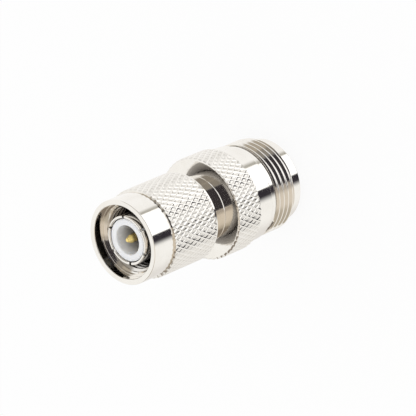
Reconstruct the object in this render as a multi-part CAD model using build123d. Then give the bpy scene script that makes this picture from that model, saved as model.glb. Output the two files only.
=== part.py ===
from build123d import *
import math
import os

# Coaxial adapter, plug at the top and socket at the bottom, standing on the socket's lip.
# Millimetres. The axis is Z and the lip's end face is at Z = 0.

# Running and seating clearances, all radial unless named otherwise
seat_clearance = 0.02
nut_running_clearance = 0.06
ring_side_clearance = 0.05
ring_rim_clearance = 0.07

# Socket body, lengths stacked upwards from the lip
lip_radius = 7.1
lip_length = 2.1
lip_chamfer = 0.2
thread_crest_radius = 7.9375
thread_root_radius = 7.29
thread_pitch = 1.058
thread_flank_angle = 30.0
thread_ridge_count = 4
thread_length = 4.7
land_radius = 7.7
land_length = 1.1
band_radius = 8.1
band_length = 3.5
band_chamfer = 0.15
flange_root_radius = 8.35
flange_crest_radius = 8.65
flange_knurl_length = 5.2

# Bores of the socket body
shell_bore_radius = 6.05
shell_bore_depth = 7.5
shell_mouth_chamfer = 0.3
bore_edge_chamfer = 0.15

# Diamond knurl, the same tool on the flange and on the nut
knurl_pitch = 1.045
knurl_angle = 30.0

# Disc that holds the socket contact
uhf_insulator_radius = 5.9
uhf_insulator_length = 6.1

# Socket contact and the four slots that spring it
socket_radius = 2.75
socket_bore_radius = 2.0
socket_bore_depth = 11.4
socket_recess = 0.1
socket_mouth_chamfer = 0.3
socket_collar_radius = 3.4
socket_collar_length = 1.2
socket_tail_length = 2.4
socket_slot_count = 4
socket_slot_width = 0.5
socket_slot_length = 5.6

# Barrel that carries the nut, and its spigot in the socket body
barrel_radius = 5.5
barrel_foot_chamfer = 0.12
barrel_front_chamfer = 0.15
spigot_radius = 4.9
collar_length = 3.4
gasket_seat_depth = 7.2

# Split ring that keeps the nut on the barrel, half in each of their grooves
ring_height_in_nut = 2.6
ring_width = 1.0
ring_depth_in_barrel = 0.48
ring_depth_in_nut = 0.52
ring_gap = 1.4

# Coupling nut
nut_length = 14.8
nut_band_radius = 7.1
nut_band_length = 4.5
nut_root_radius = 7.2
nut_crest_radius = 7.5
nut_rear_length = 0.7
nut_rear_chamfer = 0.35
nut_front_chamfer = 0.18
nut_mouth_radius = 6.2
nut_mouth_depth = 1.8
nut_mouth_chamfer = 0.2
nut_thread_radius = 5.1
nut_thread_length = 4.2
nut_thread_chamfer = 0.45
nut_relief_depth = 0.24
nut_rear_bore_length = 5.6

# Slotted outer contact of the plug
contact_radius = 4.12
contact_bore_radius = 3.68
contact_recess = 0.95
contact_base_radius = 4.5
contact_base_length = 3.4
contact_slot_count = 6
contact_slot_width = 0.45
contact_slot_length = 5.0
contact_lip_chamfer = 0.1
contact_neck_radius = 3.95
contact_neck_overlap = 0.25

# White dielectric of the plug
dielectric_radius = 3.55
dielectric_recess = 1.1
dielectric_shoulder_radius = 3.98
dielectric_shoulder_length = 4.2
dielectric_bore_radius = 2.46
dielectric_bore_depth = 5.3

# Gold pin
pin_radius = 0.685
pin_recess = 1.05
pin_tip_radius = 0.3
pin_tip_length = 0.8
pin_shank_radius = 1.15
pin_stub_radius = 0.8
pin_stub_length = 2.0

# Rubber ring at the bottom of the nut
gasket_inner_radius = 4.2
gasket_outer_radius = 5.0
gasket_thickness = 0.8

# How far a cut runs past the face that it opens
cut_overrun = 1.0

# Heights along the axis, worked out from the lengths above
thread_foot = lip_length
land_foot = thread_foot + thread_length
band_foot = land_foot + land_length
flange_foot = band_foot + band_length
flange_face = flange_foot + flange_knurl_length
nut_rear = flange_face + collar_length
nut_face = nut_rear + nut_length
insulator_top = shell_bore_depth + uhf_insulator_length
socket_mouth = shell_bore_depth + socket_recess
socket_floor = socket_mouth + socket_bore_depth
socket_end = socket_floor + socket_tail_length
dielectric_foot = insulator_top + socket_collar_length
dielectric_step = dielectric_foot + dielectric_shoulder_length
dielectric_face = nut_face - dielectric_recess
dielectric_floor = dielectric_face - dielectric_bore_depth
gasket_seat = nut_face - gasket_seat_depth
contact_face = nut_face - contact_recess
contact_foot = gasket_seat - contact_base_length
contact_slot_foot = contact_face - contact_slot_length
ring_foot = nut_rear + ring_height_in_nut
ring_top = ring_foot + ring_width
nut_knurl_foot = nut_rear + nut_rear_length
nut_knurl_top = nut_face - nut_band_length
nut_thread_top = nut_face - nut_mouth_depth
nut_thread_foot = nut_thread_top - nut_thread_length
nut_bore_top = nut_rear + nut_rear_bore_length
nut_bore_radius = barrel_radius + nut_running_clearance
nut_relief_radius = nut_bore_radius + nut_relief_depth
ring_inner_radius = barrel_radius - ring_depth_in_barrel
ring_outer_radius = nut_bore_radius + ring_depth_in_nut
knurl_half_row = knurl_pitch / math.tan(math.radians(knurl_angle)) / 2


def turned(*outline):
    """Solid turned about Z from a closed outline of (radius, height) corners."""
    section = Face(Wire.make_polygon([(radius, 0, height) for radius, height in outline], close=True))
    return Part() + revolve(section, axis=Axis.Z, revolution_arc=360)


def flat(*corners):
    """Flat face through the corners."""
    return Face(Wire.make_polygon(corners, close=True))


def knurled_blank(root, crest, bottom, top):
    """Solid bar whose side is a diamond knurl, cut off flat at both ends.

    The side is a grid of half pitches. Its corners lie in turn on the crest and on the root
    radius, and every cell is folded along the ridge between its two crest corners, so a net
    of ridges stands round rows of diamond pits.
    """
    columns = 2 * round(2 * math.pi * crest / knurl_pitch)
    rows = max(1, round((top - bottom) / knurl_half_row))
    step = (top - bottom) / rows

    def corner(column, row):
        radius = root if (column + row) % 2 else crest
        angle = 2 * math.pi * (column % columns) / columns
        return Vector(radius * math.cos(angle), radius * math.sin(angle), bottom + step * row)

    faces = []
    for row in range(rows):
        for column in range(columns):
            a = corner(column, row)
            b = corner(column + 1, row)
            c = corner(column + 1, row + 1)
            d = corner(column, row + 1)
            if (column + row) % 2:
                faces += [flat(a, b, d), flat(b, c, d)]
            else:
                faces += [flat(a, b, c), flat(a, c, d)]
    for row in (0, rows):
        faces.append(flat(*[corner(column, row) for column in range(columns)]))
    return Part() + Solid(Shell(faces))


def slots(count, width, reach, bottom, top):
    """Bars that cut slots through one wall of a sleeve, evenly round the axis."""
    bars = Part()
    for index in range(count):
        bar = Pos(reach / 2, 0, (bottom + top) / 2) * Box(reach, width, top - bottom)
        bars += Rot(0, 0, 360 * index / count) * bar
    return bars


def thread_ridges():
    """Outline corners of the socket thread, cut here as plain rings at its pitch.

    Every ridge has a flat crest an eighth of the pitch wide and 60 degrees between its flanks.
    """
    half_crest = thread_pitch / 16
    depth = thread_crest_radius - thread_root_radius
    half_foot = half_crest + depth * math.tan(math.radians(thread_flank_angle))
    corners = []
    for index in range(thread_ridge_count):
        middle = thread_foot + thread_pitch * (index + 0.5)
        corners += [
            (thread_root_radius, middle - half_foot),
            (thread_crest_radius, middle - half_crest),
            (thread_crest_radius, middle + half_crest),
            (thread_root_radius, middle + half_foot),
        ]
    return corners


def make_uhf_body():
    """Socket body: lip, thread, land, band and knurled flange, bored from both ends."""
    outside = turned(
        (0, 0),
        (lip_radius - lip_chamfer, 0),
        (lip_radius, lip_chamfer),
        (lip_radius, thread_foot),
        (thread_root_radius, thread_foot),
        *thread_ridges(),
        (thread_root_radius, land_foot),
        (land_radius, land_foot),
        (land_radius, band_foot),
        (band_radius - band_chamfer, band_foot),
        (band_radius, band_foot + band_chamfer),
        (band_radius, flange_foot),
        (0, flange_foot),
    )
    outside += knurled_blank(flange_root_radius, flange_crest_radius, flange_foot, flange_face)
    insulator_bore = uhf_insulator_radius + seat_clearance
    spigot_bore = spigot_radius + seat_clearance
    inside = turned(
        (0, -cut_overrun),
        (shell_bore_radius + shell_mouth_chamfer + cut_overrun, -cut_overrun),
        (shell_bore_radius, shell_mouth_chamfer),
        (shell_bore_radius, shell_bore_depth),
        (insulator_bore, shell_bore_depth),
        (insulator_bore, insulator_top),
        (spigot_bore, insulator_top),
        (spigot_bore, flange_face - bore_edge_chamfer),
        (spigot_bore + bore_edge_chamfer + cut_overrun, flange_face + cut_overrun),
        (0, flange_face + cut_overrun),
    )
    return outside - inside


def make_uhf_insulator():
    """Disc seated on the step of the socket body, bored for the socket contact."""
    bore = socket_radius + seat_clearance
    return turned(
        (bore, shell_bore_depth),
        (uhf_insulator_radius, shell_bore_depth),
        (uhf_insulator_radius, insulator_top),
        (bore, insulator_top),
    )


def make_socket_contact():
    """Slotted socket with a collar between the insulators and a tail that takes the pin."""
    stub_bore = pin_stub_radius + seat_clearance
    sleeve = turned(
        (socket_bore_radius + socket_mouth_chamfer, socket_mouth),
        (socket_radius, socket_mouth),
        (socket_radius, insulator_top),
        (socket_collar_radius, insulator_top),
        (socket_collar_radius, dielectric_foot),
        (socket_radius, dielectric_foot),
        (socket_radius, socket_end),
        (stub_bore, socket_end),
        (stub_bore, socket_end - pin_stub_length),
        (0, socket_end - pin_stub_length),
        (0, socket_floor),
        (socket_bore_radius, socket_floor),
        (socket_bore_radius, socket_mouth + socket_mouth_chamfer),
    )
    cuts = slots(
        socket_slot_count,
        socket_slot_width,
        socket_radius + cut_overrun,
        socket_mouth - cut_overrun,
        socket_mouth + socket_slot_length,
    )
    return sleeve - cuts


def make_tnc_body():
    """Barrel on which the nut turns, with the ring's groove and a spigot in the socket body."""
    groove_foot = ring_foot - ring_side_clearance
    groove_top = ring_top + ring_side_clearance
    groove_radius = ring_inner_radius - ring_rim_clearance
    shoulder_bore = dielectric_shoulder_radius + seat_clearance
    middle_bore = dielectric_radius + seat_clearance
    contact_bore = contact_base_radius + seat_clearance
    return turned(
        (shoulder_bore, insulator_top),
        (spigot_radius, insulator_top),
        (spigot_radius, flange_face),
        (barrel_radius - barrel_foot_chamfer, flange_face),
        (barrel_radius, flange_face + barrel_foot_chamfer),
        (barrel_radius, groove_foot),
        (groove_radius, groove_foot),
        (groove_radius, groove_top),
        (barrel_radius, groove_top),
        (barrel_radius, gasket_seat - barrel_front_chamfer),
        (barrel_radius - barrel_front_chamfer, gasket_seat),
        (contact_bore, gasket_seat),
        (contact_bore, contact_foot),
        (middle_bore, contact_foot),
        (middle_bore, dielectric_step),
        (shoulder_bore, dielectric_step),
    )


def make_outer_contact():
    """Sleeve seated in the barrel, its free end slotted into springy fingers.

    A thinner neck runs from the barrel to just past the foot of the slots.
    """
    base_bore = dielectric_radius + seat_clearance
    neck_top = contact_slot_foot + contact_neck_overlap
    finger_foot = neck_top + contact_radius - contact_neck_radius
    sleeve = turned(
        (base_bore, contact_foot),
        (contact_base_radius, contact_foot),
        (contact_base_radius, gasket_seat),
        (contact_neck_radius, gasket_seat),
        (contact_neck_radius, neck_top),
        (contact_radius, finger_foot),
        (contact_radius, contact_face - contact_lip_chamfer),
        (contact_radius - contact_lip_chamfer, contact_face),
        (contact_bore_radius, contact_face),
        (contact_bore_radius, gasket_seat),
        (base_bore, gasket_seat),
    )
    cuts = slots(
        contact_slot_count,
        contact_slot_width,
        contact_radius + cut_overrun,
        contact_slot_foot,
        contact_face + cut_overrun,
    )
    return sleeve - cuts


def make_tnc_insulator():
    """Dielectric with a rear shoulder, a bore for the socket's tail and an open front bore."""
    tail_bore = socket_radius + seat_clearance
    shank_bore = pin_shank_radius + seat_clearance
    return turned(
        (tail_bore, dielectric_foot),
        (dielectric_shoulder_radius, dielectric_foot),
        (dielectric_shoulder_radius, dielectric_step),
        (dielectric_radius, dielectric_step),
        (dielectric_radius, dielectric_face),
        (dielectric_bore_radius, dielectric_face),
        (dielectric_bore_radius, dielectric_floor),
        (shank_bore, dielectric_floor),
        (shank_bore, socket_end),
        (tail_bore, socket_end),
    )


def make_centre_pin():
    """Pin with a tapered tip, a thicker shank in the dielectric and a stub in the socket."""
    tip = nut_face - pin_recess
    return turned(
        (0, socket_end - pin_stub_length),
        (pin_stub_radius, socket_end - pin_stub_length),
        (pin_stub_radius, socket_end),
        (pin_shank_radius, socket_end),
        (pin_shank_radius, dielectric_floor),
        (pin_radius, dielectric_floor),
        (pin_radius, tip - pin_tip_length),
        (pin_tip_radius, tip),
        (0, tip),
    )


def make_face_gasket():
    """Flat rubber ring on the barrel's front face."""
    return turned(
        (gasket_inner_radius, gasket_seat),
        (gasket_outer_radius, gasket_seat),
        (gasket_outer_radius, gasket_seat + gasket_thickness),
        (gasket_inner_radius, gasket_seat + gasket_thickness),
    )


def make_retaining_ring():
    """Split ring that sits half in the barrel's groove and half in the nut's."""
    ring = turned(
        (ring_inner_radius, ring_foot),
        (ring_outer_radius, ring_foot),
        (ring_outer_radius, ring_top),
        (ring_inner_radius, ring_top),
    )
    reach = ring_outer_radius + cut_overrun
    return ring - slots(1, ring_gap, reach, ring_foot - cut_overrun, ring_top + cut_overrun)


def make_coupling_nut():
    """Knurled nut with a smooth front band, a thread inside and a groove for the ring."""
    outside = knurled_blank(nut_root_radius, nut_crest_radius, nut_knurl_foot, nut_knurl_top)
    outside += turned(
        (0, nut_knurl_top),
        (nut_band_radius, nut_knurl_top),
        (nut_band_radius, nut_face - nut_front_chamfer),
        (nut_band_radius - nut_front_chamfer, nut_face),
        (0, nut_face),
    )
    outside += turned(
        (0, nut_rear),
        (nut_band_radius - nut_rear_chamfer, nut_rear),
        (nut_band_radius, nut_rear + nut_rear_chamfer),
        (nut_band_radius, nut_knurl_foot),
        (0, nut_knurl_foot),
    )
    groove_foot = ring_foot - ring_side_clearance
    groove_top = ring_top + ring_side_clearance
    groove_radius = ring_outer_radius + ring_rim_clearance
    inside = turned(
        (0, nut_rear - cut_overrun),
        (nut_bore_radius + bore_edge_chamfer + cut_overrun, nut_rear - cut_overrun),
        (nut_bore_radius, nut_rear + bore_edge_chamfer),
        (nut_bore_radius, groove_foot),
        (groove_radius, groove_foot),
        (groove_radius, groove_top),
        (nut_bore_radius, groove_top),
        (nut_bore_radius, nut_bore_top),
        (nut_relief_radius, nut_bore_top),
        (nut_relief_radius, nut_thread_foot),
        (nut_thread_radius, nut_thread_foot),
        (nut_thread_radius, nut_thread_top - nut_thread_chamfer),
        (nut_thread_radius + nut_thread_chamfer, nut_thread_top),
        (nut_mouth_radius, nut_thread_top),
        (nut_mouth_radius, nut_face - nut_mouth_chamfer),
        (nut_mouth_radius + nut_mouth_chamfer + cut_overrun, nut_face + cut_overrun),
        (0, nut_face + cut_overrun),
    )
    return outside - inside


pieces = {
    "uhf_body": make_uhf_body(),
    "uhf_insulator": make_uhf_insulator(),
    "socket_contact": make_socket_contact(),
    "tnc_body": make_tnc_body(),
    "outer_contact": make_outer_contact(),
    "tnc_insulator": make_tnc_insulator(),
    "centre_pin": make_centre_pin(),
    "face_gasket": make_face_gasket(),
    "retaining_ring": make_retaining_ring(),
    "coupling_nut": make_coupling_nut(),
}

os.makedirs("parts", exist_ok=True)
for name, piece in pieces.items():
    export_step(piece, f"parts/{name}.step")
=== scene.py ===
"""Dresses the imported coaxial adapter: turned skins, knurls, threads, finishes, studio and camera.

Lengths are millimetres in the adapter's own frame unless a name says otherwise, and they become
metres when a mesh is made. The adapter stands on its socket's lip at height 0 with its plug
pointing up, and every height is measured from that lip.
"""
import logging
import math
from abc import ABC, abstractmethod
from dataclasses import dataclass
from enum import Enum

import bmesh
import bpy
import numpy as np
from mathutils import Matrix, Vector


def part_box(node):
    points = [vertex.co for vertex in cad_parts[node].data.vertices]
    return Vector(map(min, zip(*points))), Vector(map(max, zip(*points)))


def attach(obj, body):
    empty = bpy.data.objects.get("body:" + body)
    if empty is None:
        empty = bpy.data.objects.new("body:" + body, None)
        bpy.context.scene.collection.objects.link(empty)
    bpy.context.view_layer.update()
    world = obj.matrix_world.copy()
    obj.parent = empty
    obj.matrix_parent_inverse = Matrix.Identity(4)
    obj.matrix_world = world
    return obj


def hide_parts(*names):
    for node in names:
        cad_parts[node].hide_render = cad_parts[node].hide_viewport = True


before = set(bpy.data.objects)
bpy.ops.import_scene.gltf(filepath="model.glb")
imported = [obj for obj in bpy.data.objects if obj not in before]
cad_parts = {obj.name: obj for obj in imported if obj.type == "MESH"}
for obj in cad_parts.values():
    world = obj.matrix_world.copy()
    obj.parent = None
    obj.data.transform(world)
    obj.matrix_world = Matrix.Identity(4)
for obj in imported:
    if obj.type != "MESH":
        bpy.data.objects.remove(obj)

LOG = logging.getLogger("adapter")
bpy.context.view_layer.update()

MM = 0.001
UM = 1e-6
FULL_TURN = 2 * math.pi

LATHE_COLUMNS = 192
SHARP_ANGLE = math.radians(42)
MERGE_REACH_MM = 0.0004
SLIVER_REACH_MM = 0.0001

# A rounded corner has an arc and a holding point on each side. Both are kept to a share of the
# shorter side, and a corner that is straighter than the last value stays as it is.
ARC_STEPS = 5
ARC_SIDE_SHARE = 0.4
HOLD_MM = 0.03
HOLD_SIDE_SHARE = 0.08
STRAIGHT_HALF_ANGLE = math.radians(89)

Array = np.ndarray
Socket = bpy.types.NodeSocket
Span = tuple[float, float]
Triple = tuple[float, float, float]
Colour = Triple


class Body(Enum):
    """Bodies that the pieces ride on."""

    ADAPTER = "adapter_body"
    NUT = "nut"


class Slot(Enum):
    """Material slots of the record."""

    NICKEL = "nickel_plate"
    GOLD = "gold_plate"
    DIELECTRIC = "white_dielectric"
    RUBBER = "seal_rubber"
    STEEL = "spring_steel"


def heights_of(node: str) -> Span:
    """Lowest and highest height of a CAD node, in millimetres."""
    low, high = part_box(node)
    return low.z / MM, high.z / MM


def reach_of(node: str) -> float:
    """Largest radius of a CAD node about the axis, in millimetres."""
    low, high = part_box(node)
    return (high.x - low.x) / 2 / MM


def placed(name: str, data: bpy.types.ID) -> bpy.types.Object:
    """Adds an object to the scene.

    Args:
        name: The object's name.
        data: Its mesh or camera.

    Returns:
        The object, at the origin.
    """
    thing = bpy.data.objects.new(name, data)
    bpy.context.scene.collection.objects.link(thing)
    return thing


def even_angles(count: int) -> Array:
    """The given number of angles in even steps round the axis, from 0."""
    return np.arange(count) * FULL_TURN / count


def around(radius: Array | float, angle: Array, height: Array | float) -> Array:
    """Points at radius, angle and height about the axis, as arrays that broadcast together."""
    radius, angle, height = np.broadcast_arrays(radius, angle, height)
    return np.stack([radius * np.cos(angle), radius * np.sin(angle), height], axis=-1)


def soft_ramp(value: Array, blend: float) -> Array:
    """0 below 0 and the value itself above 0, joined by a parabola of half width blend."""
    curve = (value + blend) ** 2 / (4 * blend)
    return np.where(value < -blend, 0.0, np.where(value > blend, value, curve))


def soft_fall(value: Array, blend: float) -> Array:
    """1 below 0, falling evenly to 0 at 1 and staying there, with both bends softened."""
    drop = soft_ramp(value, blend) - soft_ramp(value - 1, blend)
    return np.clip(1 - drop, 0, 1)


def wrapped(index: Array) -> Array:
    """A grid of point numbers with its first column repeated at the end."""
    return np.concatenate([index, index[..., :1]], axis=-1)


@dataclass(frozen=True)
class Corner:
    """One corner of a turned outline, with the radius that rounds it and its painted shade."""

    radius: float
    height: float
    rounding: float = 0.05
    shade: float = 0.0


def groove(mouth: float, floor: float, foot: float, width: float) -> list[Corner]:
    """The four corners of a square groove between two radii, from its foot up, in full painted
    shade.
    """
    places = (mouth, foot), (floor, foot), (floor, foot + width), (mouth, foot + width)
    return [Corner(*place, shade=1.0) for place in places]


def rounded_corner(before: Array, corner: Corner, after: Array) -> Array:
    """Points that round one corner of an outline.

    The arc touches both sides. Its centre lies on the corner's bisector, and its points turn
    evenly from one tangent point to the other. A holding point follows on each side, which
    keeps the shading of the flat sides flat.

    Args:
        before: The corner before this one, as (radius, height).
        corner: The corner to round.
        after: The corner after this one, as (radius, height).

    Returns:
        The points in order, one row each.
    """
    here = np.array([corner.radius, corner.height])
    side_in, side_out = before - here, after - here
    length_in, length_out = np.linalg.norm(side_in), np.linalg.norm(side_out)
    along_in, along_out = side_in / length_in, side_out / length_out
    half_angle = math.acos(np.clip(along_in @ along_out, -1, 1)) / 2
    if corner.rounding == 0 or half_angle > STRAIGHT_HALF_ANGLE:
        return here[None, :]
    shortest = min(length_in, length_out)
    tangent = min(corner.rounding / math.tan(half_angle), ARC_SIDE_SHARE * shortest)
    bisector = (along_in + along_out) / np.linalg.norm(along_in + along_out)
    centre = here + bisector * tangent / math.cos(half_angle)
    start = here + along_in * tangent - centre
    end = here + along_out * tangent - centre
    turn = math.pi - 2 * half_angle
    share = np.linspace(0, 1, ARC_STEPS + 1)[:, None]
    weights = np.sin((1 - share) * turn), np.sin(share * turn)
    arc = centre + (weights[0] * start + weights[1] * end) / math.sin(turn)
    hold = tangent + min(HOLD_MM, HOLD_SIDE_SHARE * shortest)
    return np.vstack([here + along_in * hold, arc, here + along_out * hold])


def outline_points(corners: list[Corner], closed: bool) -> Array:
    """Points of a turned outline, each corner rounded as it says.

    Args:
        corners: The corners in order.
        closed: Whether the last corner joins the first. Open ends stay as they are.

    Returns:
        One (radius, height, shade) row for each point.
    """
    plain = [np.array([corner.radius, corner.height]) for corner in corners]
    count = len(corners)
    parts = []
    for place, corner in enumerate(corners):
        if closed or 0 < place < count - 1:
            spots = rounded_corner(plain[place - 1], corner, plain[(place + 1) % count])
        else:
            spots = plain[place][None, :]
        parts.append(np.column_stack([spots, np.full(len(spots), corner.shade)]))
    return np.vstack(parts)


class Draft:
    """Points, faces, relief and shade of one piece, gathered before its mesh is made.

    Relief is 1 on what stands proud, such as a crest, and 0 at the bottom of a groove or pit.
    Shade is painted shade: 0 on open surfaces and 1 in recesses, where the colour is painted
    dark and the finish is duller.
    """

    def __init__(self) -> None:
        """Starts with nothing in it."""
        self._points: list[Array] = []
        self._relief: list[Array] = []
        self._shade: list[Array] = []
        self._faces: list[list[int]] = []
        self._count = 0

    def place(self, points: Array, relief: Array | float = 1.0,
              shade: Array | float = 0.0) -> Array:
        """Adds points in millimetres.

        Args:
            points: Array whose last axis is x, y, z.
            relief: Relief of the points, one number or an array that broadcasts to them.
            shade: Shade of the points, given likewise.

        Returns:
            The points' numbers, in the shape of the array.
        """
        shape = points.shape[:-1]
        size = int(np.prod(shape))
        self._points.append(points.reshape(-1, 3))
        self._relief.append(np.broadcast_to(relief, shape).reshape(-1))
        self._shade.append(np.broadcast_to(shade, shape).reshape(-1))
        index = np.arange(self._count, self._count + size).reshape(shape)
        self._count += size
        return index

    def quads(self, index: Array, keep: Array | None = None) -> None:
        """Adds the faces between neighbouring rows and columns.

        Args:
            index: Point numbers, rows and columns on the last two axes.
            keep: Which of the faces to add, or None for all.
        """
        low, high = index[..., :-1, :], index[..., 1:, :]
        corners = low[..., :-1], low[..., 1:], high[..., 1:], high[..., :-1]
        grid = np.stack(corners, axis=-1)
        self.faces(grid.reshape(-1, 4) if keep is None else grid[keep])

    def faces(self, corners: Array) -> None:
        """Adds faces given as rows of point numbers."""
        self._faces.extend(corners.tolist())

    def turned(self, corners: list[Corner], closed: bool = True,
               columns: int = LATHE_COLUMNS) -> Array:
        """Adds an outline carried round the axis.

        Each outline point (radius, height) becomes a ring of points at that radius and height,
        at even angles from 0.

        Args:
            corners: The outline's corners in order.
            closed: Whether the last ring joins the first.
            columns: Points in each ring.

        Returns:
            The point numbers, one row for each ring.
        """
        radius, height, shade = outline_points(corners, closed).T[:, :, None]
        index = self.place(around(radius, even_angles(columns), height), shade=shade)
        self.quads(wrapped(np.concatenate([index, index[:1]]) if closed else index))
        return index

    def zipped(self, first: Array, first_angle: Array, second: Array, second_angle: Array) -> None:
        """Closes the gap between two rings that have different numbers of points.

        Both rings are walked from angle 0 in step. Each step of a ring makes a triangle with
        the point that the other ring has reached, and the first ring goes first where both
        steps end at one angle.

        Args:
            first: Point numbers of a ring in order.
            first_angle: Their rising angles, from 0.
            second: Point numbers of the other ring.
            second_angle: Their rising angles, from 0.
        """
        first_end = np.append(first_angle[1:], FULL_TURN)
        second_end = np.append(second_angle[1:], FULL_TURN)
        second_reached = np.searchsorted(second_end, first_end, side="left") % len(second)
        first_reached = np.searchsorted(first_end, second_end, side="right") % len(first)
        self.faces(np.stack([first, np.roll(first, -1), second[second_reached]], axis=-1))
        self.faces(np.stack([second, np.roll(second, -1), first[first_reached]], axis=-1))

    def made(self, name: str) -> bpy.types.Object:
        """Makes the mesh object, with seams and poles merged and faces pointing outwards.

        Args:
            name: The object's name.

        Returns:
            The object.
        """
        mesh = bpy.data.meshes.new(name)
        mesh.from_pydata(np.vstack(self._points) * MM, [], self._faces)
        for title, values in (("relief", self._relief), ("shade", self._shade)):
            layer = mesh.attributes.new(title, "FLOAT", "POINT")
            layer.data.foreach_set("value", np.concatenate(values).astype(np.float32))
        work = bmesh.new()
        work.from_mesh(mesh)
        bmesh.ops.remove_doubles(work, verts=work.verts, dist=MERGE_REACH_MM * MM)
        bmesh.ops.dissolve_degenerate(work, edges=work.edges, dist=SLIVER_REACH_MM * MM)
        bmesh.ops.recalc_face_normals(work, faces=work.faces)
        work.to_mesh(mesh)
        work.free()
        mesh.shade_smooth()
        mesh.set_sharp_from_angle(angle=SHARP_ANGLE)
        return placed(name, mesh)


@dataclass(frozen=True)
class DiamondKnurl:
    """A net of rounded ridges round rows of flat diamond pits, between two heights.

    The side is a grid of half pitches. Its corners are crests and pits in turn, and every cell
    is folded along the ridge between its two crests. From a ridge to a pit the share goes from
    0 to 1: the radius stays at the crest over the crest share, falls evenly to the root, and
    stays there over the floor share.
    """

    root: float
    crest: float
    bottom: float
    top: float
    teeth: int
    half_rows: int
    crest_share: float = 0.08
    floor_share: float = 0.42
    edge_blend: float = 0.2
    levels: tuple[float, ...] = (0.0, 0.06, 0.13, 0.21, 0.31, 0.41, 0.5, 0.6, 0.7, 1.0)
    ridge_points: int = 3

    @property
    def columns(self) -> int:
        """Half pitches round the axis."""
        return 2 * self.teeth

    def relief_at(self, share: Array) -> Array:
        """Relief between a ridge at share 0 and a pit at share 1."""
        slope_share = 1 - self.crest_share - self.floor_share
        return soft_fall((share - self.crest_share) / slope_share, self.edge_blend)

    def radius_at(self, relief: Array) -> Array:
        """Radius for a relief."""
        return self.root + (self.crest - self.root) * relief

    def add(self, draft: Draft, skin: Array, upper: Span, lower: Span) -> None:
        """Adds the whole net and joins its two edges to a turned skin.

        Every cell is two triangles, each of a ridge and one pit corner. A triangle's point is
        the point at an even share along the ridge, drawn towards the pit by its level.

        Args:
            draft: The draft that holds the skin.
            skin: The skin's point numbers, from the ring above the net to the ring below it.
            upper: Radius and height at which the upper edge has run out.
            lower: Radius and height at which the lower edge has run out.
        """
        column, row = np.meshgrid(np.arange(self.columns), np.arange(self.half_rows), indexing="ij")
        column, row = column.reshape(-1), row.reshape(-1)
        odd = (column + row) % 2
        ridge_start = np.stack([column + odd, row], axis=-1)[:, None, None, :]
        ridge_end = np.stack([column + 1 - odd, row + 1], axis=-1)[:, None, None, :]
        level = np.array(self.levels)[None, :, None, None]
        along = np.linspace(0, 1, self.ridge_points)[None, None, :, None]
        ridge = ridge_start + along * (ridge_end - ridge_start)
        relief = self.relief_at(level[..., 0])
        step_angle = FULL_TURN / self.columns
        step_height = (self.top - self.bottom) / self.half_rows
        for pit in ((column + 1 - odd, row), (column + odd, row + 1)):
            spot = ridge * (1 - level) + np.stack(pit, axis=-1)[:, None, None, :] * level
            shown = np.broadcast_to(relief, spot.shape[:-1])
            height = self.bottom + spot[..., 1] * step_height
            points = around(self.radius_at(shown), spot[..., 0] * step_angle, height)
            draft.quads(draft.place(points, shown))
        self._add_run_out(draft, True, upper, skin[0])
        self._add_run_out(draft, False, lower, skin[-1])

    def _add_run_out(self, draft: Draft, at_top: bool, end: Span, ring: Array) -> None:
        """Joins one edge of the net, which goes from crest to pit and back, to a turned skin.

        Args:
            draft: The draft that holds both.
            at_top: Whether it is the upper edge.
            end: Radius and height at which the net has run out.
            ring: Point numbers of the skin's ring.
        """
        level = np.array(self.levels)
        falling, rising = level[:-1], (1 - level[::-1])[:-1]
        to_pit, from_pit = self.relief_at(falling), self.relief_at(level[::-1])[:-1]
        column = np.arange(self.columns)[:, None]
        from_crest = (column + (self.half_rows if at_top else 0)) % 2 == 0
        angle = (column + np.where(from_crest, falling, rising)) * FULL_TURN / self.columns
        angle, relief = angle.reshape(-1), np.where(from_crest, to_pit, from_pit).reshape(-1)
        edge_height = self.top if at_top else self.bottom
        edge = draft.place(around(self.radius_at(relief), angle, edge_height), relief)
        smooth = draft.place(around(end[0], angle, end[1]))
        draft.quads(wrapped(np.stack([edge, smooth])))
        draft.zipped(smooth, angle, ring, even_angles(len(ring)))


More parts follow.
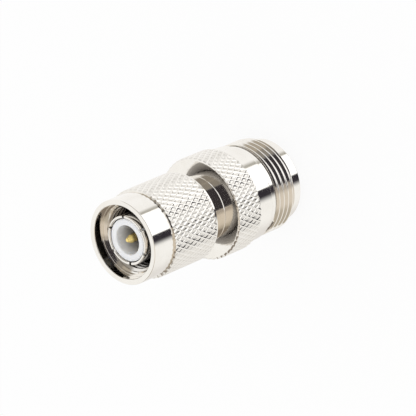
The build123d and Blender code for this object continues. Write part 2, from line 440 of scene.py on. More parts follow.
@dataclass(frozen=True)
class ThreadRidge:
    """The ridge of a right-handed screw thread on a turned skin, cut off flat at both ends.

    The section is a crest of the given width between two flanks with soft corners, and its
    foot stands a little proud of the skin. It is carried along a helix that rises one pitch
    each turn. Points past an end are moved onto it. The chamfer, at 45 degrees, takes its
    depth off the crest at the open end, and painted shade, deep_shade at most, grows evenly
    over the shade depth from there. The foot takes a share of a pit's darker, rougher finish,
    partly grime and partly painted shade.
    """

    root: float
    crest: float
    pitch: float
    crest_width: float
    chamfer: float
    flank_angle: float = 30.0
    deep_shade: float = 0.0
    shade_depth: float = 3.8
    dulled_share: float = 0.3
    corner_blend: float = 0.1
    proud: float = 0.02
    seat_depth: float = 0.12
    section_points: int = 21
    steps_in_turn: int = 144

    def add(self, draft: Draft, bottom: float, top: float, open_end: float) -> None:
        """Adds the ridge as a closed band, whose back lies inside the metal.

        Args:
            draft: The draft to add to.
            bottom: Height of the ridge's lower end.
            top: Height of its upper end.
            open_end: Which of the two heights is the chamfered one.
        """
        outwards = math.copysign(1, self.crest - self.root)
        foot = self.root + outwards * self.proud
        offset = np.linspace(-0.5, 0.5, self.section_points) * self.pitch
        flank = abs(self.crest - foot) * math.tan(math.radians(self.flank_angle))
        relief = soft_fall((np.abs(offset) - self.crest_width / 2) / flank, self.corner_blend)
        start, end = bottom - self.pitch / 2, top + self.pitch / 2
        steps = math.ceil((end - start) / self.pitch * self.steps_in_turn)
        middle = np.linspace(start, end, steps + 1)[:, None]
        turn = middle / self.pitch * FULL_TURN
        height = np.clip(middle + offset, bottom, top)
        away = np.abs(height - open_end)
        limit = self.crest - outwards * (self.chamfer - away)
        radius = foot + (self.crest - foot) * relief
        radius = outwards * np.minimum(outwards * radius, outwards * limit)
        # Painted shade, darker the deeper the ridge runs from its open end.
        shade = self.deep_shade * np.minimum(away / self.shade_depth, 1)
        dulled = 1 - self.dulled_share * (1 - relief)
        front = draft.place(around(radius, turn, height), dulled, shade)
        seat = foot - outwards * self.seat_depth
        back = draft.place(around(seat, turn, height[:, [-1, 0]]), 0.0, self.deep_shade)
        band = wrapped(np.concatenate([front, back], axis=1))
        draft.quads(band)
        draft.faces(band[[0, -1], :-1])


def opaque(colour: Colour | Socket) -> tuple[float, ...] | Socket:
    """A colour with full opacity, or the socket itself."""
    return colour if isinstance(colour, Socket) else (*colour, 1.0)


class NodeSheet:
    """Adds nodes to one node tree and links them."""

    def __init__(self, tree: bpy.types.NodeTree) -> None:
        """Empties the tree and keeps it."""
        tree.nodes.clear()
        self.tree = tree

    def add(self, kind: str, inputs: dict | None = None, **settings: object) -> bpy.types.Node:
        """Adds one node.

        Args:
            kind: The node's type name, less the word ShaderNode in front.
            inputs: Input name or number to a value or to the socket that feeds it.
            **settings: Properties of the node.

        Returns:
            The node.
        """
        node = self.tree.nodes.new("ShaderNode" + kind)
        for key, value in settings.items():
            setattr(node, key, value)
        for key, value in (inputs or {}).items():
            if isinstance(value, Socket):
                self.tree.links.new(value, node.inputs[key])
            else:
                node.inputs[key].default_value = value
        return node

    def maths(self, operation: str, *values: Socket | float) -> Socket:
        """Result of a Math node on the values."""
        return self.add("Math", dict(enumerate(values)), operation=operation).outputs[0]

    def vector_maths(self, operation: str, *values: Socket | Triple) -> Socket:
        """Number that a Vector Math node works out from the vectors."""
        node = self.add("VectorMath", dict(enumerate(values)), operation=operation)
        return node.outputs["Value"]

    def step(self, value: Socket, low: float, high: float) -> Socket:
        """0 below low and 1 above high, with a smooth step between."""
        inputs = {"Value": value, "From Min": low, "From Max": high}
        return self.add("MapRange", inputs, interpolation_type="SMOOTHSTEP").outputs[0]

    def band(self, value: Socket, limits: Span, soft: Span, shift: float = 0.0) -> Socket:
        """1 between two limits and 0 outside them, with a smooth step at each.

        Args:
            value: The value to judge.
            limits: The lower and the upper limit.
            soft: Widths of the two steps, whose middles are at the limits.
            shift: What is added to both limits.

        Returns:
            The share from 0 to 1.
        """
        rise, fall = (
            self.step(value, limit + shift - width / 2, limit + shift + width / 2)
            for limit, width in zip(limits, soft)
        )
        return self.maths("SUBTRACT", rise, fall)

    def blend(self, share: Socket, first: Colour | Socket, second: Colour | Socket) -> Socket:
        """Colour between the first at share 0 and the second at share 1."""
        inputs = {0: share, 6: opaque(first), 7: opaque(second)}
        return self.add("Mix", inputs, data_type="RGBA").outputs[2]

    def noise(self, vector: Socket, scale: float, detail: float) -> Socket:
        """Soft noise from 0 to 1, scale being its waves in a metre."""
        return self.add("TexNoise", {"Vector": vector, "Scale": scale, "Detail": detail}).outputs[0]

    def attribute(self, title: str) -> Socket:
        """A number that the mesh holds for each of its points."""
        return self.add("Attribute", attribute_name=title).outputs["Fac"]

    def place(self) -> Socket:
        """The place on the piece, in its own coordinates."""
        return self.add("TexCoord").outputs["Object"]

    def turning_place(self) -> Socket:
        """Distance from the axis and height, as a vector, so that a pattern forms rings.

        Returns:
            The vector.
        """
        x, y, height = self.add("SeparateXYZ", {0: self.place()}).outputs
        flat = self.add("CombineXYZ", {0: x, 1: y}).outputs[0]
        radius = self.vector_maths("LENGTH", flat)
        return self.add("CombineXYZ", {0: radius, 1: height}).outputs[0]

    def mirrored_ray(self) -> Socket:
        """1 for a ray that a surface has mirrored or let through, and 0 for any other."""
        ray = self.add("LightPath").outputs
        return self.maths("MAXIMUM", ray["Is Glossy Ray"], ray["Is Transmission Ray"])


def new_material(name: str) -> tuple[bpy.types.Material, NodeSheet]:
    """Makes an empty node material.

    Args:
        name: Its name.

    Returns:
        The material and the sheet that fills it.
    """
    material = bpy.data.materials.new(name)
    material.use_nodes = True
    return material, NodeSheet(material.node_tree)


@dataclass(frozen=True)
class Finish(ABC):
    """A finish of the adapter, with fine rings from the lathe that run round the axis."""

    name: str
    ring_depth_um: float

    @abstractmethod
    def surface(self, sheet: NodeSheet) -> tuple[dict[str, object], Socket]:
        """Adds the finish's own nodes.

        Args:
            sheet: The sheet to add to.

        Returns:
            Inputs of the surface shader by name, and the height of the finest relief.
        """

    def made(self) -> bpy.types.Material:
        """Makes the material.

        Returns:
            The material.
        """
        material, sheet = new_material(self.name)
        inputs, height = self.surface(sheet)
        depth = self.ring_depth_um * UM
        bump = sheet.add("Bump", {"Strength": 1.0, "Distance": depth, "Height": height})
        shader = sheet.add("BsdfPrincipled", inputs | {"Normal": bump.outputs[0]})
        sheet.add("OutputMaterial", {0: shader.outputs[0]})
        return material


@dataclass(frozen=True)
class PlatedMetal(Finish):
    """Bright plating over turned metal.

    Grooves and pits are darker and rougher than what stands proud, partly grime and partly
    painted shade. Where the shade attribute is set, painted shade turns the colour dark and the
    finish duller. Clouds a few millimetres wide vary tint and polish.
    """

    bright: Colour
    worn: Colour
    groove: Colour
    painted_shade: Colour
    polish: float
    dulling: float
    groove_dulling: float
    recess_dulling: float = 0.3
    worn_share: float = 0.5
    cloud_span: Span = (0.35, 0.7)
    cloud_scale: float = 420.0
    streak_scale: float = 9000.0
    ring_scale: float = 26000.0
    grain_scale: float = 60000.0
    grain_height: float = 0.15

    def surface(self, sheet: NodeSheet) -> tuple[dict[str, object], Socket]:
        """Adds the plating's own nodes.

        Args:
            sheet: The sheet to add to.

        Returns:
            Inputs of the surface shader by name, and the height of the finest relief.
        """
        place, turning = sheet.place(), sheet.turning_place()
        cloud = sheet.step(sheet.noise(place, self.cloud_scale, 3.0), *self.cloud_span)
        streak = sheet.noise(turning, self.streak_scale, 3.0)
        ring = sheet.noise(turning, self.ring_scale, 1.0)
        grain = sheet.noise(place, self.grain_scale, 1.0)
        relief, shade = sheet.attribute("relief"), sheet.attribute("shade")
        tint = sheet.blend(sheet.maths("MULTIPLY", cloud, self.worn_share), self.bright, self.worn)
        # Painted shade: where the shade attribute is set the colour is painted dark; pits are
        # darker too, partly grime and partly painted shade.
        colour = sheet.blend(shade, sheet.blend(relief, self.groove, tint), self.painted_shade)
        wear = sheet.maths("ADD", cloud, streak)
        dull = sheet.maths("MULTIPLY_ADD", wear, self.dulling / 2, self.polish)
        pit = sheet.maths("MULTIPLY", sheet.maths("SUBTRACT", 1.0, relief), self.groove_dulling)
        dull = sheet.maths("ADD", dull, pit)
        height = sheet.maths("ADD", streak, ring)
        return {
            "Base Color": colour,
            "Metallic": 1.0,
            "Roughness": sheet.maths("MULTIPLY_ADD", shade, self.recess_dulling, dull),
        }, sheet.maths("MULTIPLY_ADD", grain, self.grain_height, height)


@dataclass(frozen=True)
class MouldedPolymer(Finish):
    """A dull polymer with faint mottling, and painted shade that darkens its recesses.

    A share of its colour may come from light that sinks in and spreads over a glow distance,
    the three glow reaches being shares of it for red, green and blue.
    """

    light: Colour
    dark: Colour
    painted_shade: Colour
    roughness: Span
    glow_share: float = 0.0
    glow_distance: float = 0.0011
    glow_reaches: Triple = (1.0, 0.97, 0.92)
    specular: float = 0.4
    mottle_span: Span = (0.3, 0.75)
    mottle_scale: float = 900.0
    ring_scale: float = 11000.0
    grain_scale: float = 40000.0
    grain_height: float = 0.4

    def surface(self, sheet: NodeSheet) -> tuple[dict[str, object], Socket]:
        """Adds the polymer's own nodes.

        Args:
            sheet: The sheet to add to.

        Returns:
            Inputs of the surface shader by name, and the height of the finest relief.
        """
        place = sheet.place()
        mottle = sheet.step(sheet.noise(place, self.mottle_scale, 3.0), *self.mottle_span)
        ring = sheet.noise(sheet.turning_place(), self.ring_scale, 2.0)
        grain = sheet.noise(place, self.grain_scale, 2.0)
        mottled = sheet.blend(mottle, self.light, self.dark)
        smooth, rough = self.roughness
        spread = sheet.add("MapRange", {"Value": grain, "To Min": smooth, "To Max": rough})
        return {
            # Painted shade: the shade attribute darkens the colour in recesses.
            "Base Color": sheet.blend(sheet.attribute("shade"), mottled, self.painted_shade),
            "Roughness": spread.outputs[0],
            "Specular IOR Level": self.specular,
            "Subsurface Weight": self.glow_share,
            "Subsurface Radius": self.glow_reaches,
            "Subsurface Scale": self.glow_distance,
        }, sheet.maths("MULTIPLY_ADD", grain, self.grain_height, ring)


# In every finish below, the colour laid in where the shade attribute is set is painted shade, and
# the groove colours are partly grime and partly painted shade.
FINISHES = {
    Slot.NICKEL: PlatedMetal(
        name="nickel_plating",
        bright=(0.93, 0.905, 0.865),
        worn=(0.86, 0.83, 0.78),
        groove=(0.80, 0.775, 0.735),
        painted_shade=(0.07, 0.063, 0.064),
        polish=0.05,
        dulling=0.07,
        groove_dulling=0.14,
        ring_depth_um=0.25,
    ),
    Slot.GOLD: PlatedMetal(
        name="gold_plating",
        bright=(1.0, 0.79, 0.31),
        worn=(0.88, 0.66, 0.28),
        groove=(0.70, 0.48, 0.18),
        painted_shade=(0.45, 0.28, 0.08),
        polish=0.14,
        dulling=0.1,
        groove_dulling=0.15,
        ring_depth_um=0.4,
    ),
    Slot.STEEL: PlatedMetal(
        name="drawn_spring_steel",
        bright=(0.60, 0.59, 0.57),
        worn=(0.50, 0.49, 0.47),
        groove=(0.40, 0.39, 0.37),
        painted_shade=(0.20, 0.19, 0.18),
        polish=0.28,
        dulling=0.15,
        groove_dulling=0.1,
        ring_depth_um=1.0,
    ),
    Slot.DIELECTRIC: MouldedPolymer(
        name="white_fluoropolymer",
        light=(0.90, 0.905, 0.915),
        dark=(0.84, 0.85, 0.87),
        painted_shade=(0.22, 0.21, 0.205),
        roughness=(0.36, 0.52),
        ring_depth_um=3.0,
        glow_share=0.6,
    ),
    Slot.RUBBER: MouldedPolymer(
        name="seal_rubber",
        light=(0.055, 0.053, 0.05),
        dark=(0.03, 0.03, 0.03),
        painted_shade=(0.02, 0.02, 0.02),
        roughness=(0.55, 0.8),
        ring_depth_um=6.0,
    ),
}


@dataclass(kw_only=True)
class Piece(ABC):
    """A piece of the adapter that stands for one CAD node."""

    name: str
    node: str
    slot: Slot
    body: Body = Body.ADAPTER

    @abstractmethod
    def shape(self, draft: Draft) -> None:
        """Adds the piece's surfaces to the draft."""

    def build(self, materials: dict[Slot, bpy.types.Material]) -> bpy.types.Object:
        """Makes the piece, dresses it and ties it to its body and node.

        Args:
            materials: The finished material for each slot.

        Returns:
            The piece's object.
        """
        draft = Draft()
        self.shape(draft)
        piece = draft.made(self.name)
        piece.data.materials.append(materials[self.slot])
        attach(piece, self.body.value)
        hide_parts(self.node)
        return piece


@dataclass
class CouplingNut(Piece):
    """The knurled nut: smooth front band, knurl, rear lip, threaded bore and ring groove.

    From the top of its thread on, painted shade darkens the bore over the fade length, and the
    rear face is in painted shade too, darkest at the bore.
    """

    name: str = "knurled_nut"
    node: str = "coupling_nut"
    slot: Slot = Slot.NICKEL
    body: Body = Body.NUT
    band_radius: float = 7.1
    band_length: float = 4.5
    knurl_root: float = 7.38
    knurl_teeth: int = 45
    knurl_half_rows: int = 11
    rear_length: float = 0.7
    rear_bevel: float = 0.1
    run_out: float = 0.07
    rim_rounding: float = 0.1
    mouth_radius: float = 6.2
    mouth_depth: float = 1.8
    thread: ThreadRidge = ThreadRidge(
        root=5.6, crest=5.1, pitch=0.907, crest_width=0.22675, chamfer=0.48, deep_shade=1.0
    )
    thread_length: float = 4.2
    thread_entry: float = 0.18
    fade_length: float = 1.26
    relief_radius: float = 5.8
    bore_radius: float = 5.56
    bore_length: float = 5.6
    groove_radius: float = 6.15
    groove_foot: float = 2.55
    groove_width: float = 1.1

    def shape(self, draft: Draft) -> None:
        """Adds the turned skin, the knurl and the thread.

        Args:
            draft: The draft to add to.
        """
        rear, face = heights_of(self.node)
        thread_top = face - self.mouth_depth
        thread_foot = thread_top - self.thread_length
        ridge_top = thread_top - self.thread_entry
        bore_top = rear + self.bore_length
        groove_foot = rear + self.groove_foot
        knurl = DiamondKnurl(
            root=self.knurl_root,
            crest=reach_of(self.node),
            bottom=rear + self.rear_length,
            top=face - self.band_length,
            teeth=self.knurl_teeth,
            half_rows=self.knurl_half_rows,
        )
        skin = draft.turned([
            Corner(self.band_radius, knurl.top + 2 * self.run_out),
            Corner(self.band_radius, face, self.rim_rounding),
            Corner(self.mouth_radius, face, self.rim_rounding),
            Corner(self.mouth_radius, thread_top, 0.08),
            Corner(self.thread.root + self.thread_entry, thread_top, 0.02),
            Corner(self.thread.root, ridge_top, 0.02),
            # Painted shade: the bore darkens from here down.
            Corner(self.thread.root, thread_top - self.fade_length, 0.0, shade=0.7),
            Corner(self.thread.root, thread_foot, 0.04, shade=1.0),
            Corner(self.relief_radius, thread_foot, shade=1.0),
            Corner(self.relief_radius, bore_top, shade=1.0),
            Corner(self.bore_radius, bore_top, shade=1.0),
            *groove(self.bore_radius, self.groove_radius, groove_foot, self.groove_width)[::-1],
            # Painted shade on the rear face, darkest at the bore.
            Corner(self.bore_radius, rear, 0.12, shade=0.9),
            Corner(self.band_radius - self.rear_bevel, rear, 0.03, shade=0.6),
            Corner(self.band_radius, rear + self.rear_bevel, 0.03),
            Corner(self.band_radius, knurl.bottom - 2 * self.run_out),
        ], closed=False)
        upper = self.band_radius, knurl.top + self.run_out
        lower = self.band_radius, knurl.bottom - self.run_out
        knurl.add(draft, skin, upper, lower)
        self.thread.add(draft, thread_foot, ridge_top, open_end=ridge_top)


@dataclass
class SocketShell(Piece):
    """The socket body: knurled flange, band, land, thread and lip, bored from both ends."""

    name: str = "socket_shell"
    node: str = "uhf_body"
    slot: Slot = Slot.NICKEL
    lip_radius: float = 7.1
    lip_length: float = 2.1
    thread: ThreadRidge = ThreadRidge(
        root=7.48, crest=7.9375, pitch=1.058, crest_width=0.13225, chamfer=0.4, flank_angle=44.0
    )
    thread_length: float = 4.7
    thread_relief: float = 0.3
    land_radius: float = 7.7
    land_length: float = 1.1
    band_radius: float = 8.1
    band_length: float = 3.5
    knurl_root: float = 8.53
    rim_radius: float = 8.3
    knurl_teeth: int = 52
    knurl_half_rows: int = 6
    run_out: float = 0.07
    face_chamfer: float = 0.14
    shell_bore: float = 6.05
    shell_depth: float = 7.5
    disc_bore: float = 5.92
    disc_length: float = 6.1
    spigot_bore: float = 4.92

    def shape(self, draft: Draft) -> None:
        """Adds the turned skin, the knurl and the thread.

        Args:
            draft: The draft to add to.
        """
        foot, face = heights_of(self.node)
        thread_foot = foot + self.lip_length
        land_foot = thread_foot + self.thread_length
        band_foot = land_foot + self.land_length
        flange_foot = band_foot + self.band_length
        disc_foot = foot + self.shell_depth
        disc_top = disc_foot + self.disc_length
        skin = draft.turned([
            Corner(self.rim_radius - self.face_chamfer, face),
            Corner(self.spigot_bore, face, 0.1),
            Corner(self.spigot_bore, disc_top),
            Corner(self.disc_bore, disc_top),
            Corner(self.disc_bore, disc_foot),
            Corner(self.shell_bore, disc_foot),
            Corner(self.shell_bore, foot, 0.25),
            Corner(self.lip_radius, foot, 0.18),
            Corner(self.lip_radius, thread_foot),
            # Painted shade along the thread's root.
            Corner(self.thread.root, thread_foot, shade=0.3),
            Corner(self.thread.root, land_foot, 0.08, shade=0.5),
            Corner(self.land_radius, land_foot, 0.06),
            Corner(self.land_radius, band_foot, 0.08),
            Corner(self.band_radius, band_foot, 0.16),
            Corner(self.band_radius, flange_foot - 2 * self.run_out),
        ], closed=False)
        knurl = DiamondKnurl(
            root=self.knurl_root,
            crest=reach_of(self.node),
            bottom=flange_foot,
            top=face - self.face_chamfer,
            teeth=self.knurl_teeth,
            half_rows=self.knurl_half_rows,
        )
        upper = self.rim_radius, face
        lower = self.band_radius, flange_foot - self.run_out
        knurl.add(draft, skin, upper, lower)
        ridge_top = land_foot - self.thread_relief
        self.thread.add(draft, thread_foot, ridge_top, open_end=thread_foot)


@dataclass(kw_only=True)
class SlottedSleeve(Piece, ABC):
    """A turned sleeve whose free end is cut into springy fingers by even slots.

    Every slot has flat, parallel sides: at each radius its edge stands off the slot's middle
    by the angle whose sine is half the width over that radius. A finger's outermost column of
    points stands off by about the edge clearance times the widest such angle.
    """

    slot_count: int
    slot_width: float
    finger_columns: int = 24
    edge_clearance: float = 1.2

    @abstractmethod
    def outline(self) -> tuple[list[Corner], float]:
        """The closed outline, and the height at which the slots end, which is a point in it."""

    def shape(self, draft: Draft) -> None:
        """Adds the sleeve with its slots cut and their walls closed.

        Args:
            draft: The draft to add to.
        """
        corners, slot_end = self.outline()
        radius, height, shade = outline_points(corners, closed=True).T[:, :, None]
        spacing = FULL_TURN / self.slot_count
        clear = self.edge_clearance * self.slot_width / 2 / radius.min()
        inner = np.linspace(clear, spacing - clear, self.finger_columns)
        middle = np.arange(self.slot_count)[:, None] * spacing
        base = (middle + np.concatenate([[0.0], inner, [spacing]])).reshape(-1)
        side = np.concatenate([[1.0], np.zeros(self.finger_columns), [-1.0]])
        side = np.tile(side, self.slot_count)
        angle = base + side * np.arcsin(self.slot_width / 2 / radius)
        index = draft.place(around(radius, angle, height), shade=shade)
        first, last = np.flatnonzero(np.isclose(height, slot_end))[[0, -1]]
        row = np.arange(len(height))[:, None]
        cut = (side == -1.0) & (row >= first) & (row < last)
        draft.quads(wrapped(np.concatenate([index, index[:1]])), keep=~cut)
        left = np.flatnonzero(side == -1.0)
        right = (left + 1) % len(side)
        for column in (left, right):
            draft.faces(index[first:last + 1, column].T)
        low, high = index[first], index[last]
        draft.faces(np.stack([low[left], low[right], high[right], high[left]], axis=-1))


@dataclass
class FingerContact(SlottedSleeve):
    """The plug's outer contact, a sleeve with six fingers, with painted shade on its wall below the
    tips.
    """

    name: str = "finger_contact"
    node: str = "outer_contact"
    slot: Slot = Slot.NICKEL
    slot_count: int = 6
    slot_width: float = 0.45
    slot_length: float = 5.0
    radius: float = 4.12
    bore: float = 3.68
    base_radius: float = 4.5
    base_bore: float = 3.57
    base_length: float = 3.4
    neck_radius: float = 3.95
    neck_overlap: float = 0.25
    unshaded_length: float = 0.72
    fade_length: float = 0.48

    def outline(self) -> tuple[list[Corner], float]:
        """The sleeve's outline.

        Returns:
            The corners, and the foot of the slots.
        """
        foot, tip = heights_of(self.node)
        seat = foot + self.base_length
        slot_foot = tip - self.slot_length
        neck_top = slot_foot + self.neck_overlap
        shade_top = tip - self.unshaded_length
        return [
            Corner(self.base_bore, foot),
            Corner(self.base_radius, foot),
            # Painted shade: the outer wall is dark up to a short length below the tip.
            Corner(self.base_radius, seat, shade=1.0),
            Corner(self.neck_radius, seat, shade=1.0),
            Corner(self.neck_radius, slot_foot, 0.0, shade=1.0),
            Corner(self.neck_radius, neck_top, 0.1, shade=1.0),
            Corner(self.radius, neck_top + self.radius - self.neck_radius, 0.1, shade=1.0),
            Corner(self.radius, shade_top - self.fade_length, 0.0, shade=0.9),
            Corner(self.radius, shade_top, 0.0),
            Corner(self.radius, tip, 0.12),
            Corner(self.bore, tip, 0.16),
            Corner(self.bore, slot_foot, 0.0),
            Corner(self.bore, seat),
            Corner(self.base_bore, seat),
        ], slot_foot


@dataclass
class SpringSocket(SlottedSleeve):
    """The socket's centre contact: slotted mouth below, collar, and tail that takes the pin.

    A hair-thin bore on the axis keeps its outline closed.
    """

    name: str = "spring_socket"
    node: str = "socket_contact"
    slot: Slot = Slot.GOLD
    slot_count: int = 4
    slot_width: float = 0.5
    slot_length: float = 5.6
    finger_columns: int = 30
    radius: float = 2.75
    bore: float = 2.0
    bore_depth: float = 11.4
    collar_foot: float = 13.6
    collar_top: float = 14.8
    collar_radius: float = 3.4
    stub_bore: float = 0.82
    stub_depth: float = 2.0
    axis_radius: float = 0.3

    def outline(self) -> tuple[list[Corner], float]:
        """The sleeve's outline.

        Returns:
            The corners, and the top of the slots.
        """
        mouth, end = heights_of(self.node)
        slot_top = mouth + self.slot_length
        floor = mouth + self.bore_depth
        stub_floor = end - self.stub_depth
        return [
            Corner(self.bore, slot_top, 0.0),
            Corner(self.bore, mouth, 0.28),
            Corner(self.radius, mouth, 0.15),
            Corner(self.radius, slot_top, 0.0),
            Corner(self.radius, self.collar_foot),
            Corner(self.collar_radius, self.collar_foot),
            Corner(self.collar_radius, self.collar_top),
            Corner(self.radius, self.collar_top),
            Corner(self.radius, end),
            Corner(self.stub_bore, end),
            Corner(self.stub_bore, stub_floor),
            Corner(self.axis_radius, stub_floor, 0.0),
            Corner(self.axis_radius, floor, 0.0),
            Corner(self.bore, floor),
        ], slot_top


@dataclass(kw_only=True)
class TurnedPiece(Piece, ABC):
    """A piece that is one outline carried round the axis."""

    closed: bool = True
    columns: int = LATHE_COLUMNS

    @abstractmethod
    def corners(self) -> list[Corner]:
        """The outline's corners in order."""

    def shape(self, draft: Draft) -> None:
        """Adds the outline carried round the axis."""
        draft.turned(self.corners(), self.closed, self.columns)


@dataclass
class PlugBarrel(TurnedPiece):
    """The barrel on which the nut turns, with the ring's groove and a spigot below.

    A small bead at the foot of the barrel stands against the flange. Its outline is given as
    shares of its height: how far it stands out, and how far up. From the nut's rear on, painted
    shade darkens the barrel over the fade length, and its groove and seat are in painted shade.
    """

    name: str = "plug_barrel"
    node: str = "tnc_body"
    slot: Slot = Slot.NICKEL
    barrel_radius: float = 5.5
    bead: float = 0.11
    bead_outline: tuple[Span, ...] = ((0.6, 0.0), (0.54, 0.1), (0.0, 1.0), (0.0, 1.2))
    fade_length: float = 0.5
    spigot_radius: float = 4.9
    spigot_length: float = 3.0
    groove_foot: float = 22.55
    groove_width: float = 1.1
    groove_radius: float = 4.95
    shoulder_bore: float = 4.0
    shoulder_top: float = 19.0
    middle_bore: float = 3.57
    contact_bore: float = 4.52
    contact_foot: float = 24.2

    def corners(self) -> list[Corner]:
        """The outline, from the shoulder's bore outwards and up.

        Returns:
            The corners in order.
        """
        foot, seat = heights_of(self.node)
        nut_rear, _ = heights_of(CouplingNut.node)
        flange_face = foot + self.spigot_length
        bead = [
            Corner(self.barrel_radius + out * self.bead, flange_face + up * self.bead, 0.0)
            for out, up in self.bead_outline
        ]
        return [
            Corner(self.shoulder_bore, foot),
            Corner(self.spigot_radius, foot),
            Corner(self.spigot_radius, flange_face, 0.0),
            *bead,
            Corner(self.barrel_radius, nut_rear, 0.0),
            # Painted shade inside the nut, from here on.
            Corner(self.barrel_radius, nut_rear + self.fade_length, 0.0, shade=1.0),
            *groove(self.barrel_radius, self.groove_radius, self.groove_foot, self.groove_width),
            Corner(self.barrel_radius, seat, 0.14, shade=1.0),
            Corner(self.contact_bore, seat, shade=1.0),
            Corner(self.contact_bore, self.contact_foot),
            Corner(self.middle_bore, self.contact_foot),
            Corner(self.middle_bore, self.shoulder_top),
            Corner(self.shoulder_bore, self.shoulder_top),
        ]


@dataclass
class FrontDielectric(TurnedPiece):
    """The plug's white dielectric, with an open front bore round the pin, in painted shade deeper
    down.
    """

    name: str = "front_dielectric"
    node: str = "tnc_insulator"
    slot: Slot = Slot.DIELECTRIC
    radius: float = 3.55
    shoulder_radius: float = 3.98
    shoulder_length: float = 4.2
    bore: float = 2.46
    bore_depth: float = 5.3
    shank_bore: float = 1.17
    tail_bore: float = 2.77
    tail_top: float = 21.4

    def corners(self) -> list[Corner]:
        """The outline, from the tail's bore outwards and up.

        Returns:
            The corners in order.
        """
        foot, face = heights_of(self.node)
        step = foot + self.shoulder_length
        floor = face - self.bore_depth
        return [
            Corner(self.tail_bore, foot),
            Corner(self.shoulder_radius, foot),
            Corner(self.shoulder_radius, step),
            Corner(self.radius, step),
            Corner(self.radius, face, 0.15),
            Corner(self.bore, face, 0.22),
            Corner(self.bore, face - self.bore_depth / 4, 0.0),
            # Painted shade, growing towards the bore's floor.
            Corner(self.bore, face - self.bore_depth / 2, 0.0, shade=0.4),
            Corner(self.bore, floor, 0.3, shade=1.0),
            Corner(self.shank_bore, floor, shade=1.0),
            Corner(self.shank_bore, self.tail_top),
            Corner(self.tail_bore, self.tail_top),
        ]


@dataclass
class CentrePin(TurnedPiece):
    """The gold pin: stub, thick shank, thin front and tapered tip."""

    name: str = "gold_pin"
    node: str = "centre_pin"
    slot: Slot = Slot.GOLD
    closed: bool = False
    columns: int = 96
    radius: float = 0.685
    tip_radius: float = 0.3
    tip_length: float = 0.8
    stub_radius: float = 0.8
    stub_length: float = 2.0
    shank_top: float = 28.4

    def corners(self) -> list[Corner]:
        """The outline from the axis at the foot to the axis at the tip.

        Returns:
            The corners in order.
        """
        foot, tip = heights_of(self.node)
        shank_radius = reach_of(self.node)
        shank_foot = foot + self.stub_length
        return [
            Corner(0.0, foot),
            Corner(self.stub_radius, foot),
            Corner(self.stub_radius, shank_foot),
            Corner(shank_radius, shank_foot),
            Corner(shank_radius, self.shank_top),
            Corner(self.radius, self.shank_top),
            Corner(self.radius, tip - self.tip_length, 0.4),
            Corner(self.tip_radius, tip, 0.14),
            Corner(0.0, tip),
        ]


@dataclass(kw_only=True)
class FlatRing(TurnedPiece):
    """A flat ring from its bore to its node's reach.

    The roundings are of the inner and outer corner below, then the outer and inner above.
    """

    bore: float
    roundings: tuple[float, ...]

    def corners(self) -> list[Corner]:
        """The four corners, starting inside below.

        Returns:
            The corners in order.
        """
        foot, top = heights_of(self.node)
        reach = reach_of(self.node)
        places = (self.bore, foot), (reach, foot), (reach, top), (self.bore, top)
        return [Corner(*place, rounding) for place, rounding in zip(places, self.roundings)]


@dataclass
class RearDielectric(FlatRing):
    """The white disc that holds the socket's centre contact."""

    name: str = "rear_dielectric"
    node: str = "uhf_insulator"
    slot: Slot = Slot.DIELECTRIC
    bore: float = 2.77
    roundings: tuple[float, ...] = (0.15, 0.2, 0.05, 0.05)


@dataclass
class FaceSeal(FlatRing):
    """The flat rubber ring on the barrel's front face."""

    name: str = "rubber_face_seal"
    node: str = "face_gasket"
    slot: Slot = Slot.RUBBER
    bore: float = 4.2
    roundings: tuple[float, ...] = (0.15, 0.15, 0.25, 0.25)


@dataclass(frozen=True)
class RetainingRing:
    """The split ring hidden in the grooves, which keeps the CAD solid's own shape."""

    node: str = "retaining_ring"
    slot: Slot = Slot.STEEL

    def build(self, materials: dict[Slot, bpy.types.Material]) -> bpy.types.Object:
        """Gives the carried-over node its finish.

        Args:
            materials: The finished material for each slot.

        Returns:
            The node's object.
        """
        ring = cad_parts[self.node]
        ring.data.materials.clear()
        ring.data.materials.append(materials[self.slot])
        return ring


@dataclass(frozen=True)
class StudioPatch:
    """One patch of the studio, between two azimuths and two elevations in degrees.

    Azimuth is 0 straight away from the camera and 90 to its right. Each of the four edges is
    softened by its own width.
    """

    colour: Colour
    azimuth: Span
    elevation: Span
    azimuth_soft: Span
    elevation_soft: Span

    def mask(self, sheet: NodeSheet, azimuth: Socket, elevation: Socket) -> Socket:
        """1 inside the patch and 0 outside, the azimuth counted both as it is and a turn on.

        Args:
            sheet: The sheet to add to.
            azimuth: Azimuth of the direction looked in, from -180 to 180.
            elevation: Its elevation.

        Returns:
            The share from 0 to 1.
        """
        as_is = sheet.band(azimuth, self.azimuth, self.azimuth_soft)
        turn_on = sheet.band(azimuth, self.azimuth, self.azimuth_soft, shift=-360)
        lift = sheet.band(elevation, self.elevation, self.elevation_soft)
        return sheet.maths("MULTIPLY", sheet.maths("MAXIMUM", as_is, turn_on), lift)


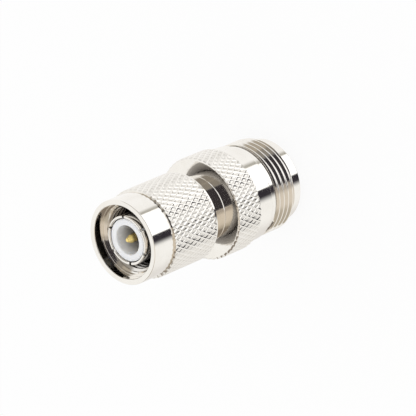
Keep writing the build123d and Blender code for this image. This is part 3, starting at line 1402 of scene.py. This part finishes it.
@dataclass(frozen=True)
class Studio:
    """The room that bright metal mirrors, with the adapter lying on a pale table in it.

    The three vectors are the room's directions in the adapter's frame: up from the table, away
    from the camera along the table, and to the camera's right. Later patches cover earlier ones.
    """

    up: Triple = (0.98896, -0.12568, -0.07531)
    away: Triple = (0.0306, 0.67973, -0.73249)
    right: Triple = (-0.14332, -0.72245, -0.6764)
    plain: Colour = (1.0, 1.0, 1.0)
    wall: Colour = (0.99, 0.985, 0.975)
    patches: tuple[StudioPatch, ...] = (
        StudioPatch((0.97, 0.965, 0.945), (-400, 400), (-100, -4), (1, 1), (1, 5)),
        StudioPatch((0.80, 0.78, 0.755), (-70, 52), (-75, -19), (20, 44), (10, 12)),
        StudioPatch((0.72, 0.645, 0.545), (125, 235), (-100, -3), (50, 40), (1, 1)),
        StudioPatch((0.45, 0.40, 0.345), (150, 215), (-13, -3), (20, 20), (10, 1)),
        StudioPatch((0.46, 0.41, 0.33), (170, 250), (-100, -44), (30, 30), (1, 14)),
        StudioPatch((0.25, 0.21, 0.17), (-155, -97), (-62, -36), (10, 8), (6, 6)),
        StudioPatch((0.27, 0.245, 0.21), (-150, -93), (18, 75), (14, 8), (14, 10)),
        StudioPatch((0.43, 0.38, 0.31), (-122, -73), (41, 80), (6, 2), (6, 5)),
        StudioPatch((0.036, 0.031, 0.035), (168, 213), (-2.6, 68), (8, 8), (1, 10)),
        StudioPatch((0.42, 0.405, 0.36), (51, 75), (10, 75), (14, 2), (4, 8)),
        StudioPatch((1.35, 1.35, 1.35), (60.5, 128), (12, 62), (2.2, 2), (1.4, 2)),
        StudioPatch((0.033, 0.029, 0.036), (50, 130), (-4.8, 13), (3, 3), (13, 1.8)),
    )

    def build(self) -> None:
        """Fills the world, with the room for reflections and plain white for all else."""
        world = bpy.data.worlds.new("studio")
        bpy.context.scene.world = world
        world.use_nodes = True
        sheet = NodeSheet(world.node_tree)
        look = sheet.add("TexCoord").outputs["Generated"]
        axes = self.up, self.away, self.right
        rise, ahead, aside = (sheet.vector_maths("DOT_PRODUCT", look, axis) for axis in axes)
        azimuth = sheet.maths("DEGREES", sheet.maths("ARCTAN2", aside, ahead))
        elevation = sheet.maths("DEGREES", sheet.maths("ARCSINE", rise))
        colour = self.wall
        for patch in self.patches:
            colour = sheet.blend(patch.mask(sheet, azimuth, elevation), colour, patch.colour)
        seen = sheet.blend(sheet.mirrored_ray(), self.plain, colour)
        light = sheet.add("Background", {0: seen, 1: 1.0})
        sheet.add("OutputWorld", {0: light.outputs[0]})


@dataclass(frozen=True)
class Floor:
    """The plain pale floor that the adapter stands on.

    The camera sees it white, with the soft shade that the adapter casts. Reflections pass
    through it to the studio, which has its own pale table.
    """

    radius_m: float = 3.0
    sides: int = 96
    pale: Colour = (0.11, 0.11, 0.11)
    glow: Colour = (1.0, 1.0, 1.0)
    own_light: float = 0.88

    def build(self) -> None:
        """Makes the floor and its material."""
        mesh = bpy.data.meshes.new("floor")
        rim = around(self.radius_m, even_angles(self.sides), 0.0)
        mesh.from_pydata(rim, [], [list(range(self.sides))])
        material, sheet = new_material("pale_floor")
        matt = sheet.add("BsdfDiffuse", {0: opaque(self.pale)})
        glow = sheet.add("Emission", {0: opaque(self.glow), 1: self.own_light})
        pale = sheet.add("AddShader", {0: matt.outputs[0], 1: glow.outputs[0]})
        clear = sheet.add("BsdfTransparent")
        shaders = {0: sheet.mirrored_ray(), 1: pale.outputs[0], 2: clear.outputs[0]}
        sheet.add("OutputMaterial", {0: sheet.add("MixShader", shaders).outputs[0]})
        mesh.materials.append(material)
        placed("floor", mesh)


@dataclass(frozen=True)
class PhotoCamera:
    """The camera at the photograph's viewing angle.

    It looks at the aim point from an azimuth and elevation about the adapter's axis, rolled
    about its own line of sight so that the adapter lies on its side in the picture.
    """

    azimuth: float = 21.2297
    elevation: float = 42.5789
    roll: float = -113.2783
    aim: Triple = (-0.3274, -0.1272, 14.9285)
    distance: float = 648.125
    focal_pixels: float = 4000.0
    picture_pixels: float = 416.0
    sensor_mm: float = 36.0
    clip_m: Span = (0.05, 20.0)

    def build(self) -> None:
        """Makes the camera and puts it in charge of the scene."""
        turn, lift = math.radians(self.azimuth), math.radians(self.elevation)
        back = Vector((
            math.sin(turn) * math.cos(lift), -math.cos(turn) * math.cos(lift), math.sin(lift)
        ))
        right = Vector((math.cos(turn), math.sin(turn), 0.0))
        upright = Matrix((right, back.cross(right), back)).transposed()
        rolled = upright @ Matrix.Rotation(math.radians(self.roll), 3, "Z")
        data = bpy.data.cameras.new("photo_camera")
        data.sensor_width = self.sensor_mm
        data.lens = self.focal_pixels / self.picture_pixels * self.sensor_mm
        data.clip_start, data.clip_end = self.clip_m
        camera = placed("photo_camera", data)
        camera.location = (Vector(self.aim) + back * self.distance) * MM
        camera.rotation_mode = "QUATERNION"
        camera.rotation_quaternion = rolled.to_quaternion()
        bpy.context.scene.camera = camera


PIECES = (
    CouplingNut,
    SocketShell,
    PlugBarrel,
    FingerContact,
    SpringSocket,
    FrontDielectric,
    RearDielectric,
    CentrePin,
    FaceSeal,
    RetainingRing,
)


def main() -> None:
    """Builds the pieces, the studio, the floor and the camera."""
    logging.basicConfig(level=logging.INFO, format="%(name)s: %(message)s")
    bpy.context.scene.view_settings.view_transform = "Standard"
    materials = {slot: finish.made() for slot, finish in FINISHES.items()}
    for kind in PIECES:
        piece = kind().build(materials)
        mesh = piece.data
        LOG.info("%s: %d points, %d faces", piece.name, len(mesh.vertices), len(mesh.polygons))
    Studio().build()
    Floor().build()
    PhotoCamera().build()


if __name__ == "__main__":
    main()
